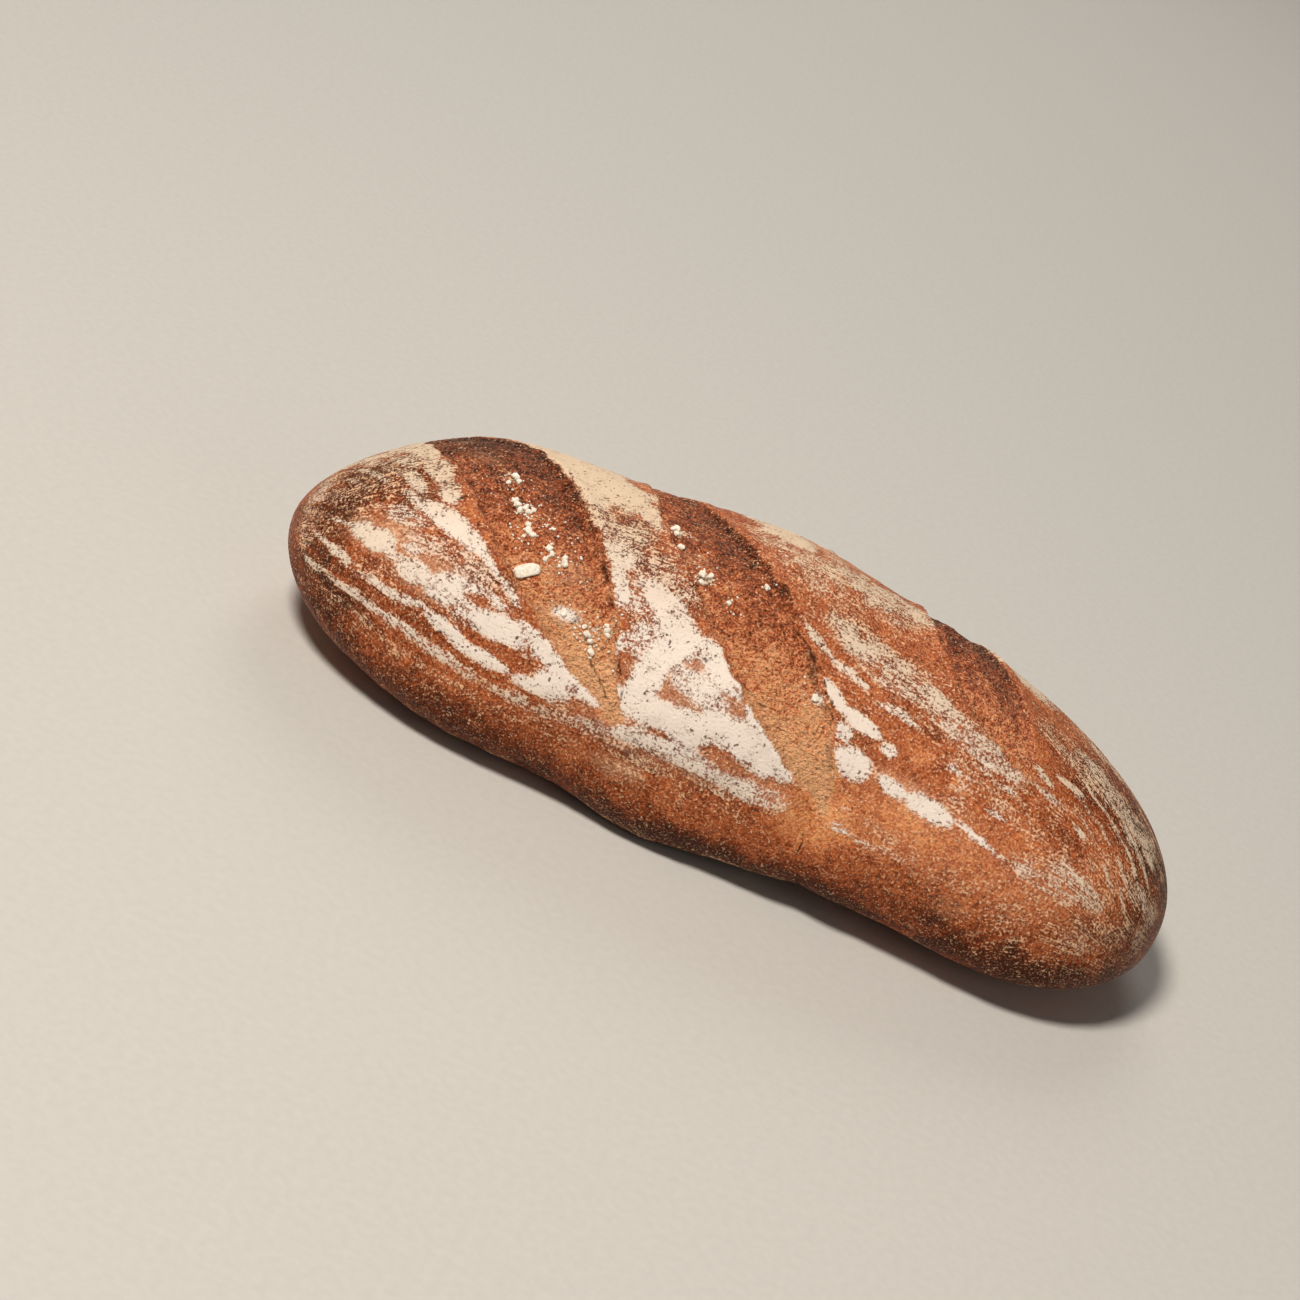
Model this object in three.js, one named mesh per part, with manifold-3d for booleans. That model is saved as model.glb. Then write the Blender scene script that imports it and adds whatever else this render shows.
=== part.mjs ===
// A bloomer: a hand-shaped white loaf with no tin, floured, slashed three times across the
// top and baked on its flat base. Millimetres, +Z up, +X along the loaf. The side on which
// the slashes end faces -Y. The origin is on the base, below the middle of the loaf.

import * as THREE from 'three';
import { mergeVertices } from 'three/addons/utils/BufferGeometryUtils.js';
import Module from 'manifold-3d';

const { clamp, lerp, smoothstep } = THREE.MathUtils;

// The loaf as a whole.
const length = 330;
const width = 132;
const height = 89;
const bowInPlan = -5; // both ends lie this far towards -Y
const skewInPlan = 3; // the right end lies this far towards +Y, the left end towards -Y

// Its cross section: half an ellipse over a squarer underside that the baking stone flattened.
const widestHeight = 20;
const undersideSink = 3.5; // how far the underside would bulge below the stone
const undersidePower = 3.1;
const baseRounding = 1.5;

// The rounded ends: where the nose sits, and how each outline falls away towards it.
const noseHeight = { left: 30, right: 23.5 };
const planFall = { left: { power: 3.7, root: 1.8 }, right: { power: 6.5, root: 1.75 } };
const topFall = { left: { power: 2.6, root: 1.7 }, right: { power: 1.65, root: 2.2 } };
const undersideFall = { left: { power: 3, root: 1.8 }, right: { power: 1.7, root: 2.3 } };
const fallBlend = 24; // height over which the top's fall passes into the underside's

// Swellings and hollows left by shaping and by the oven. Along is measured from the middle
// of the loaf, around from the crest over the skin, positive down the -Y side.
const swells = [
  { along: -120, around: -15, spread: [24, 40], rise: 6 },
  { along: -40, around: -15, spread: [22, 40], rise: -1.5 },
  { along: 0, around: -15, spread: [26, 40], rise: 4 },
  { along: 75, around: -15, spread: [26, 40], rise: 2 },
  { along: -90, around: 135, spread: [22, 26], rise: 1 },
  { along: -52, around: 135, spread: [20, 26], rise: -1 },
  { along: -16, around: 135, spread: [15, 26], rise: 3 },
  { along: 16, around: 135, spread: [15, 26], rise: -1 },
  { along: 48, around: 135, spread: [20, 26], rise: -2 },
  { along: 78, around: 135, spread: [24, 26], rise: -4 },
  { along: 108, around: 135, spread: [20, 26], rise: 2 },
  { along: -70, around: -130, spread: [30, 28], rise: -3 },
  { along: 20, around: -130, spread: [34, 28], rise: 4 },
  { along: 95, around: -130, spread: [26, 28], rise: -2.5 },
];
const lumpHeight = 0.5; // slow unevenness of the skin between the swellings
const lumpLengths = { along: 19, around: 15 };

// The slashes. Each opened along a curve from its low tip, over the crest, to its far tip.
const slashes = [
  { curve: [[-33, 85], [-80, 44], [-118, -18], [-142, -38]], halfWidth: 17.5 },
  { curve: [[41, 84], [21, 48], [-52, 22], [-60, -62]], halfWidth: 14.5 },
  { curve: [[98, 31], [79, 14], [57, -8], [34, -86]], halfWidth: 15 },
];
const slashDepth = 2.6;
const slashCrown = 1.8; // the burst dough rises again along the middle of the slash
const slashWall = 0.3; // share of the half width that the wall takes
const lipHeight = { left: 0.8, right: 0.9 };
const lipWidth = { left: 2.4, right: 3.4 };
const slashSteps = 48;

// A crease runs from the second slash's low tip down to the base.
const crease = { curve: [[39, 80], [38, 92], [42, 104], [44, 128]], halfWidth: 4, depth: 1.8 };

// Clumps of flour that stuck in the slashes: place as on the loaf, then length, width, height.
const clumps = [
  { along: -80, around: 52, size: [9, 5, 2.4] },
  { along: -98, around: 14, size: [4, 3, 1.8] },
  { along: -91, around: 25, size: [5, 3.5, 2] },
  { along: -85, around: 35, size: [3.5, 2.5, 1.6] },
  { along: -74, around: 41, size: [5, 3.5, 2] },
  { along: -63, around: 61, size: [3.5, 3, 1.6] },
  { along: -53, around: 65, size: [3.5, 3, 1.8] },
  { along: -48, around: 60, size: [4, 2.5, 1.6] },
  { along: -43, around: 9, size: [3.5, 2.5, 1.6] },
  { along: -38, around: 17, size: [3.5, 2.5, 1.6] },
  { along: -26, around: 28, size: [6, 4, 2] },
  { along: -16, around: 34, size: [3.5, 2.5, 1.6] },
  { along: -7, around: 22, size: [4, 2.5, 1.6] },
  { along: 23, around: 51, size: [4, 3, 1.8] },
];
const clumpRoughness = 0.22; // how far a clump's corners stray, as a share of its size
const clumpSink = 0.25; // share of its height that a clump sits in the crust
const clumpSeed = 7;

// Facets: rings along the loaf and spacing around it, finer on the slashed top.
const ringCount = 76;
const ringEvenness = 0.4; // 1 spaces the rings evenly, 0 crowds them at the ends
const finestAround = 5.6;
const coarsestAround = 13;
const slashedReach = 96; // the slashes lie within this distance of the crest

// One half of the cross section as a table over the distance along the skin from the crest:
// place and outward direction. Turn 0 is the crest, 1 the widest point, 2 under the middle.
function measureSection() {
  const steps = 1200;
  const table = [];
  let distance = 0;
  for (let step = 0; step <= steps; step++) {
    const turn = (2 * step) / steps;
    const angle = (turn < 1 ? turn : turn - 1) * Math.PI / 2;
    const corner = 2 / undersidePower;
    const point = turn < 1
      ? new THREE.Vector2(
          (width / 2) * Math.sin(angle),
          widestHeight + (height - widestHeight) * Math.cos(angle))
      : new THREE.Vector2(
          (width / 2) * Math.max(Math.cos(angle), 0) ** corner,
          widestHeight - (widestHeight + undersideSink) * Math.sin(angle) ** corner);
    if (step > 0) distance += point.distanceTo(table[step - 1].point);
    table.push({ distance, point });
  }
  table.forEach((entry, i) => {
    const before = table[Math.max(i - 1, 0)].point;
    const after = table[Math.min(i + 1, steps)].point;
    const direction = after.clone().sub(before).normalize();
    entry.outward = new THREE.Vector2(-direction.y, direction.x);
  });
  return table;
}

const section = measureSection();
const halfGirth = section[section.length - 1].distance;

function sectionAt(around) {
  const distance = Math.min(Math.abs(around), halfGirth);
  let low = 0;
  let high = section.length - 1;
  while (high - low > 1) {
    const middle = (low + high) >> 1;
    if (section[middle].distance > distance) high = middle;
    else low = middle;
  }
  const span = section[high].distance - section[low].distance;
  const share = span > 0 ? (distance - section[low].distance) / span : 0;
  const side = around < 0 ? 1 : -1;
  const point = section[low].point.clone().lerp(section[high].point, share);
  const outward = section[low].outward.clone().lerp(section[high].outward, share);
  point.x *= side;
  outward.x *= side;
  return { point, outward };
}

function fallAt(along, fall) {
  const { power, root } = along < 0 ? fall.left : fall.right;
  const reach = Math.min(Math.abs(along) / (length / 2), 1);
  return (1 - reach ** power) ** (1 / root);
}

function bell(distance, spread) {
  return Math.exp(-((distance / spread) ** 2) / 2);
}

function swellAt(along, around) {
  return swells.reduce((sum, swell) =>
    sum + swell.rise * bell(along - swell.along, swell.spread[0])
      * bell(around - swell.around, swell.spread[1]), 0);
}

function lumpAt(along, around) {
  const a = along / lumpLengths.along;
  const b = around / lumpLengths.around;
  return lumpHeight * (Math.sin(a + 1.7 * b) + Math.sin(1.6 * a - 0.8 * b + 2) * Math.cos(0.7 * b));
}

function sampleCurve(points) {
  const corners = points.map(([x, y]) => new THREE.Vector2(x, y));
  return new THREE.CubicBezierCurve(...corners).getPoints(slashSteps);
}

// Where a place on the skin lies against a curve: its share of the curve from the low tip,
// and its distance across, positive on the side towards the right end.
function placeAgainst(samples, along, around) {
  let nearest = 0;
  let best = Infinity;
  samples.forEach((sample, i) => {
    const distance = Math.hypot(along - sample.x, around - sample.y);
    if (distance < best) {
      best = distance;
      nearest = i;
    }
  });
  const before = samples[Math.max(nearest - 1, 0)];
  const after = samples[Math.min(nearest + 1, slashSteps)];
  const turn = (after.x - before.x) * (around - before.y) - (after.y - before.y) * (along - before.x);
  return { share: nearest / slashSteps, across: Math.sign(turn) * best };
}

const slashSamples = slashes.map((slash) => sampleCurve(slash.curve));
const creaseSamples = sampleCurve(crease.curve);

function slashAt(along, around) {
  return slashes.reduce((sum, slash, i) => {
    const { share, across } = placeAgainst(slashSamples[i], along, around);
    const opening = Math.sin(Math.PI * clamp(share, 0.02, 0.98) ** 0.9) ** 0.8;
    const edge = slash.halfWidth * opening;
    const inside = 1 - smoothstep(Math.abs(across), edge * (1 - slashWall), edge);
    const crown = slashCrown * Math.max(1 - (across / edge) ** 2, 0);
    const side = across > 0 ? 'right' : 'left';
    const lip = lipHeight[side] * bell(Math.abs(across) - edge - lipWidth[side] / 2, lipWidth[side] / 2);
    return sum + opening * (inside * (crown - slashDepth) + lip);
  }, 0);
}

function creaseAt(along, around) {
  const { share, across } = placeAgainst(creaseSamples, along, around);
  return -crease.depth * bell(across, crease.halfWidth) * (1 - share * 0.4);
}

// The point of the skin at a place along the loaf and around it.
function skinPoint(along, around) {
  const { point, outward } = sectionAt(around);
  const relief = swellAt(along, around) + lumpAt(along, around)
    + slashAt(along, around) + creaseAt(along, around);
  point.addScaledVector(outward, relief);

  const reach = along / (length / 2);
  const nose = lerp(noseHeight.left, noseHeight.right, (reach + 1) / 2);
  const overNose = smoothstep(point.y - nose, -fallBlend / 2, fallBlend / 2);
  const fall = lerp(fallAt(along, undersideFall), fallAt(along, topFall), overNose);
  const raw = nose + fall * (point.y - nose);
  const z = raw >= baseRounding ? raw : Math.max(raw + baseRounding, 0) ** 2 / (4 * baseRounding);
  const y = fallAt(along, planFall) * point.x + bowInPlan * reach ** 2 + skewInPlan * reach;
  return new THREE.Vector3(along, y, z);
}

function ringPlaces() {
  return Array.from({ length: ringCount - 1 }, (_, i) => {
    const even = (2 * (i + 1)) / ringCount - 1;
    return (length / 2) * lerp(Math.sin((even * Math.PI) / 2), even, ringEvenness);
  });
}

// Places around, from under the middle, over the -Y side and the crest, and back again.
function aroundPlaces() {
  const half = [];
  let around = finestAround / 2;
  while (around < halfGirth - coarsestAround / 2) {
    half.push(around);
    const down = smoothstep(around, slashedReach * 0.9, slashedReach * 1.3);
    around += lerp(finestAround, coarsestAround, down);
  }
  return [halfGirth, ...half.toReversed(), ...half.map((place) => -place)];
}

function makeCrust() {
  const rings = ringPlaces();
  const places = aroundPlaces();
  const count = places.length;
  const corners = rings.flatMap((along) => places.map((around) => skinPoint(along, around)));
  const leftTip = corners.push(skinPoint(-length / 2, 0)) - 1;
  const rightTip = corners.push(skinPoint(length / 2, 0)) - 1;
  const faces = [];
  places.forEach((_, j) => {
    const k = (j + 1) % count;
    faces.push(leftTip, j, k);
    for (let i = 0; i < rings.length - 1; i++) {
      const [a, b] = [i * count + j, i * count + k];
      faces.push(a, a + count, b, b, a + count, b + count);
    }
    const last = (rings.length - 1) * count;
    faces.push(rightTip, last + k, last + j);
  });
  const crust = new THREE.BufferGeometry();
  crust.setAttribute('position', new THREE.Float32BufferAttribute(
    corners.flatMap((corner) => corner.toArray()), 3));
  crust.setIndex(faces);
  return crust;
}

// A small repeatable random draw, from 0 to 1.
function makeRandom(seed) {
  let state = seed;
  return () => {
    state = (state * 16807) % 2147483647;
    return state / 2147483647;
  };
}

function makeClump({ along, around, size }, random) {
  const shape = new THREE.IcosahedronGeometry(1, 0);
  shape.deleteAttribute('normal');
  shape.deleteAttribute('uv');
  const clump = mergeVertices(shape);
  const position = clump.getAttribute('position');
  for (let i = 0; i < position.count; i++) {
    const stray = 1 + clumpRoughness * (2 * random() - 1);
    const corner = new THREE.Vector3().fromBufferAttribute(position, i).multiplyScalar(stray);
    position.setXYZ(i, ...corner);
  }
  clump.scale(size[0] / 2, size[1] / 2, size[2] / 2);
  clump.rotateZ(random() * Math.PI);

  const here = skinPoint(along, around);
  const ahead = skinPoint(along + 2, around).sub(here);
  const aside = skinPoint(along, around + 2).sub(here);
  const outward = aside.cross(ahead).normalize();
  const turn = new THREE.Quaternion().setFromUnitVectors(new THREE.Vector3(0, 0, 1), outward);
  clump.applyQuaternion(turn);
  const centre = here.addScaledVector(outward, size[2] * (0.5 - clumpSink) / 2);
  clump.translate(centre.x, centre.y, centre.z);
  return clump;
}

// Flour clumps are one body with the crust that they stick to.
async function join(pieces) {
  const wasm = await Module();
  wasm.setup();
  const solids = pieces.map((piece) => new wasm.Manifold(new wasm.Mesh({
    numProp: 3,
    vertProperties: piece.getAttribute('position').array,
    triVerts: new Uint32Array(piece.getIndex().array),
  })));
  const { vertProperties, triVerts } = solids.reduce((whole, solid) => whole.add(solid)).getMesh();
  const joined = new THREE.BufferGeometry();
  joined.setAttribute('position', new THREE.Float32BufferAttribute(vertProperties, 3));
  joined.setIndex(new THREE.Uint32BufferAttribute(triVerts, 1));
  return joined;
}

const random = makeRandom(clumpSeed);
const geometry = await join([makeCrust(), ...clumps.map((clump) => makeClump(clump, random))]);
geometry.computeBoundingBox();
const middle = geometry.boundingBox.getCenter(new THREE.Vector3());
geometry.translate(-middle.x, -middle.y, 0);
geometry.computeVertexNormals();

const bakedCrust = new THREE.MeshStandardMaterial({ color: 0xb27a52, roughness: 0.72, metalness: 0 });
const loaf = new THREE.Mesh(geometry, bakedCrust);
loaf.name = 'loaf';

const group = new THREE.Group();
group.add(loaf);

export default group;
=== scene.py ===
import math

import bmesh
import bpy
import numpy as np
from mathutils import Matrix, Vector


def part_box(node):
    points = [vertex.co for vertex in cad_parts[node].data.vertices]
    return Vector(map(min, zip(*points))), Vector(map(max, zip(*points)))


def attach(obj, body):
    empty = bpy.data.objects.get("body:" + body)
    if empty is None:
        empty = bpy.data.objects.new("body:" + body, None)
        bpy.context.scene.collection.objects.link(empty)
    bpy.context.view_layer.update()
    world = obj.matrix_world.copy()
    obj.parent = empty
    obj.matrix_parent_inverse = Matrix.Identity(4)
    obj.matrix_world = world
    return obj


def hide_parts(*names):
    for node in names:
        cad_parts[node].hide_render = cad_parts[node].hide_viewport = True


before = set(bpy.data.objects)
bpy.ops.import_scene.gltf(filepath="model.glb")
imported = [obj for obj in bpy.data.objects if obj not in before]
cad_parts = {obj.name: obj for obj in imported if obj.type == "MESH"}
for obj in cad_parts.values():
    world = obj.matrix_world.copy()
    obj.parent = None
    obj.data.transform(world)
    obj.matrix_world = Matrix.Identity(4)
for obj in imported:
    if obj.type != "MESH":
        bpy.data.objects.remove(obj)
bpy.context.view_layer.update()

# A bloomer: a hand-shaped loaf that was floured, slashed three times and baked on its flat base.
# Forms are worked out in millimetres, as the solid's are, and turned to metres as meshes are made.
# A place on the skin is (along, around): along from the middle of the loaf to its right end, and
# around from the crest over the skin, positive down the side that faces the camera.
mm = 0.001
boxLow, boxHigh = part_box("loaf")

loaf = {
    "length": (boxHigh[0] - boxLow[0]) / mm,
    "width": 132,
    "height": 89,
    "bowInPlan": -5,
    "skewInPlan": 3,
    "widestHeight": 20,
    "undersideSink": 3.5,
    "undersidePower": 3.1,
    "baseRounding": 1.5,
    "noseHeight": (30, 23.5),
    "planFall": ((3.7, 1.8), (6.5, 1.75)),  # power and root, left end and right end
    "topFall": ((2.6, 1.7), (1.65, 2.2)),
    "undersideFall": ((3, 1.8), (1.7, 2.3)),
    "fallBlend": 24,
    "lumpHeight": 0.5,
    "lumpLengths": (19, 15),
    "rings": 372,
    "ringEvenness": 0.55,
    "placesAround": 256,
    "topCrowding": 0.45,  # how much closer the places lie at the crest than underneath
}

# along, around, spread along, spread around, rise
swells = [
    (-120, -15, 24, 40, 6),
    (-40, -15, 22, 40, -1.5),
    (0, -15, 26, 40, 4),
    (75, -15, 26, 40, 2),
    (-90, 135, 22, 26, 1),
    (-52, 135, 20, 26, -1),
    (-16, 135, 15, 26, 3),
    (16, 135, 15, 26, -1),
    (48, 135, 20, 26, -2),
    (78, 135, 24, 26, -4),
    (108, 135, 20, 26, 2),
    (-70, -130, 30, 28, -3),
    (20, -130, 34, 28, 4),
    (95, -130, 26, 28, -2.5),
]

slashes = {
    "curves": [
        ((-33, 85), (-80, 44), (-118, -18), (-142, -38)),
        ((41, 84), (21, 48), (-52, 22), (-60, -62)),
        ((98, 31), (79, 14), (57, -8), (34, -86)),
    ],
    "halfWidths": (17.5, 14.5, 15),
    "depth": 2.6,
    "crown": 1.8,
    "wall": (0.1, 0.22),  # share of the half width, left edge and right edge
    "lipHeight": (0.8, 0.9),
    "lipWidth": (2.4, 3.4),
    "browned": ((-0.04, 0.2), (-0.19, 0.07), (0.36, 0.22)),  # at the low tip and from a third of the way up
    "darkest": (0.91, 0.71, 0.88),
    "paleLeft": 0.11,  # how much paler a slash is at its left edge, and darker at its right
    "paleTop": 0.25,
    "ragged": 1.5,  # how far the torn edges stray
    "raggedSize": 6,
    "tornSize": 5,  # length of the stretches in which an edge is torn or whole
    "steps": 64,
}
crease = {"curve": ((39, 80), (38, 92), (42, 104), (44, 128)), "halfWidth": 4, "depth": 1.8, "fade": 0.4}


def ease(value, low, high):
    t = np.clip((value - low) / (high - low), 0, 1)
    return t * t * (3 - 2 * t)


def bell(distance, spread):
    return np.exp(-((distance / spread) ** 2) / 2)


# Smooth random values from -1 to 1 over points given in cells, the same on every run.
def cloud(points, seed, octaves=1):
    total = np.zeros(len(points))
    for octave in range(octaves):
        lattice = np.random.default_rng(seed + octave).uniform(-1, 1, (48, 48, 48))
        scaled = points * 2**octave + 7.3 * octave
        cell = np.floor(scaled).astype(int)
        t = scaled - cell
        t = t * t * (3 - 2 * t)
        value = np.zeros(len(points))
        for corner in range(8):
            step = np.array([corner & 1, corner >> 1 & 1, corner >> 2 & 1])
            share = np.where(step, t, 1 - t).prod(axis=1)
            value += share * lattice[tuple(((cell + step) % 48).T)]
        total += value / 2**octave
    return total


def measureSection():
    turn = np.linspace(0, 2, 4001)
    over = turn <= 1
    angle = np.where(over, turn, turn - 1) * math.pi / 2
    corner = 2 / loaf["undersidePower"]
    half = loaf["width"] / 2
    widest = loaf["widestHeight"]
    y = np.where(over, half * np.sin(angle), half * np.abs(np.cos(angle)) ** corner)
    z = np.where(
        over,
        widest + (loaf["height"] - widest) * np.cos(angle),
        widest - (widest + loaf["undersideSink"]) * np.sin(angle) ** corner,
    )
    distance = np.concatenate([[0], np.cumsum(np.hypot(np.diff(y), np.diff(z)))])
    return distance, y, z, -np.gradient(z, distance), np.gradient(y, distance)


section = measureSection()
halfGirth = section[0][-1]


def fallAt(along, fall):
    reach = np.clip(np.abs(along) / (loaf["length"] / 2), 0, 1)
    power = np.where(along < 0, fall[0][0], fall[1][0])
    root = np.where(along < 0, fall[0][1], fall[1][1])
    return np.clip(1 - reach**power, 0, 1) ** (1 / root)


def curvePoints(corners):
    a, b, c, d = (np.array(corner, float) for corner in corners)
    t = np.linspace(0, 1, slashes["steps"] + 1)[:, None]
    return a * (1 - t) ** 3 + 3 * b * (1 - t) ** 2 * t + 3 * c * (1 - t) * t**2 + d * t**3


# Share of the curve from its low tip, and distance across it, positive towards the right end.
def placeAgainst(corners, along, around):
    points = curvePoints(corners)
    gap = np.hypot(along[:, None] - points[:, 0], around[:, None] - points[:, 1])
    nearest = gap.argmin(axis=1)
    heading = np.gradient(points, axis=0)
    heading /= np.linalg.norm(heading, axis=1)[:, None]
    dx = along - points[nearest, 0]
    dy = around - points[nearest, 1]
    across = heading[nearest, 0] * dy - heading[nearest, 1] * dx
    ahead = heading[nearest, 0] * dx + heading[nearest, 1] * dy
    atEnd = (nearest == 0) | (nearest == slashes["steps"])
    across = np.where(atEnd, np.sign(across) * np.hypot(dx, dy), across)
    share = (nearest + np.clip(ahead / 3, -0.5, 0.5)) / slashes["steps"]
    return np.clip(share, 0, 1), across


# Relief of the slashes, how far a place lies inside one, the burst dough's tone and the painted shade along
# the torn edges.
def slashesAt(along, around, skin):
    relief = np.zeros(len(along))
    inside = np.zeros(len(along))
    tone = np.zeros(len(along))
    tearShade = np.zeros(len(along))
    straying = cloud(skin / slashes["raggedSize"], 11, 3) * slashes["ragged"]
    broken = ease(cloud(skin / slashes["tornSize"], 17, 2), -0.2, 0.5)
    eachSlash = (slashes[name] for name in ("curves", "halfWidths", "browned", "darkest"))
    for curve, halfWidth, browned, darkest in zip(*eachSlash):
        place, across = placeAgainst(curve, along, around)
        # A slash gapes widest near its middle and closes at both tips.
        opening = np.sin(math.pi * np.clip(place, 0.02, 0.98) ** 0.9) ** 0.8
        edge = halfWidth * opening + straying * ease(opening, 0, 0.4)
        right = across > 0
        wall = np.where(right, slashes["wall"][1], slashes["wall"][0])
        within = 1 - ease(np.abs(across), edge * (1 - wall), edge)
        crown = slashes["crown"] * np.clip(1 - (across / np.maximum(edge, 1)) ** 2, 0, 1)
        width = np.where(right, slashes["lipWidth"][1], slashes["lipWidth"][0]) / 2
        lip = np.where(right, slashes["lipHeight"][1], slashes["lipHeight"][0])
        lip = lip * bell(np.abs(across) - edge - width, width)
        relief += opening * (within * (crown - slashes["depth"]) + lip)
        here = 1 - ease(np.abs(across), edge - 0.7, edge + 0.5)
        sidewise = slashes["paleLeft"] * np.clip(across / np.maximum(edge, 1), -1, 1)
        low, high = browned
        burnt = np.minimum(place + low + (high - low) * ease(place, 0, 0.35), darkest)
        burnt -= slashes["paleTop"] * ease(place, 0.8, 1)
        tone = np.where(here > inside, burnt + sidewise, tone)
        inside = np.maximum(inside, here)
        # Painted shade: dark lines just inside the torn edges, where the lips overhang the walls.
        atRight = bell(across - edge + 1, 0.8) * broken
        atLeft = bell(across + edge - 1.2, 0.7) * (0.45 - 0.35 * broken)
        tearShade = np.maximum(tearShade, (atRight + atLeft) * opening)
    return relief, inside, tone, tearShade


def creaseAt(along, around):
    share, across = placeAgainst(crease["curve"], along, around)
    return -crease["depth"] * bell(across, crease["halfWidth"]) * (1 - crease["fade"] * share)


def swellAt(along, around):
    total = np.zeros(len(along))
    for x, y, spreadAlong, spreadAround, rise in swells:
        total += rise * bell(along - x, spreadAlong) * bell(around - y, spreadAround)
    a = along / loaf["lumpLengths"][0]
    b = around / loaf["lumpLengths"][1]
    lumps = np.sin(a + 1.7 * b) + np.sin(1.6 * a - 0.8 * b + 2) * np.cos(0.7 * b)
    return total + loaf["lumpHeight"] * lumps


# The skin's points for places along and around, raised by relief, in millimetres.
def skinAt(along, around, relief):
    distance, ys, zs, outY, outZ = section
    side = np.where(around < 0, 1, -1)
    reachAround = np.abs(around)
    y = side * (np.interp(reachAround, distance, ys) + relief * np.interp(reachAround, distance, outY))
    z = np.interp(reachAround, distance, zs) + relief * np.interp(reachAround, distance, outZ)
    reach = along / (loaf["length"] / 2)
    nose = loaf["noseHeight"][0] + (loaf["noseHeight"][1] - loaf["noseHeight"][0]) * (reach + 1) / 2
    overNose = ease(z - nose, -loaf["fallBlend"] / 2, loaf["fallBlend"] / 2)
    low = fallAt(along, loaf["undersideFall"])
    fall = low + (fallAt(along, loaf["topFall"]) - low) * overNose
    raw = nose + fall * (z - nose)
    soft = loaf["baseRounding"]
    z = np.where(raw >= soft, raw, np.maximum(raw + soft, 0) ** 2 / (4 * soft))
    y = fallAt(along, loaf["planFall"]) * y + loaf["bowInPlan"] * reach**2 + loaf["skewInPlan"] * reach
    return np.stack([along, y, z], axis=1)
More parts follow.
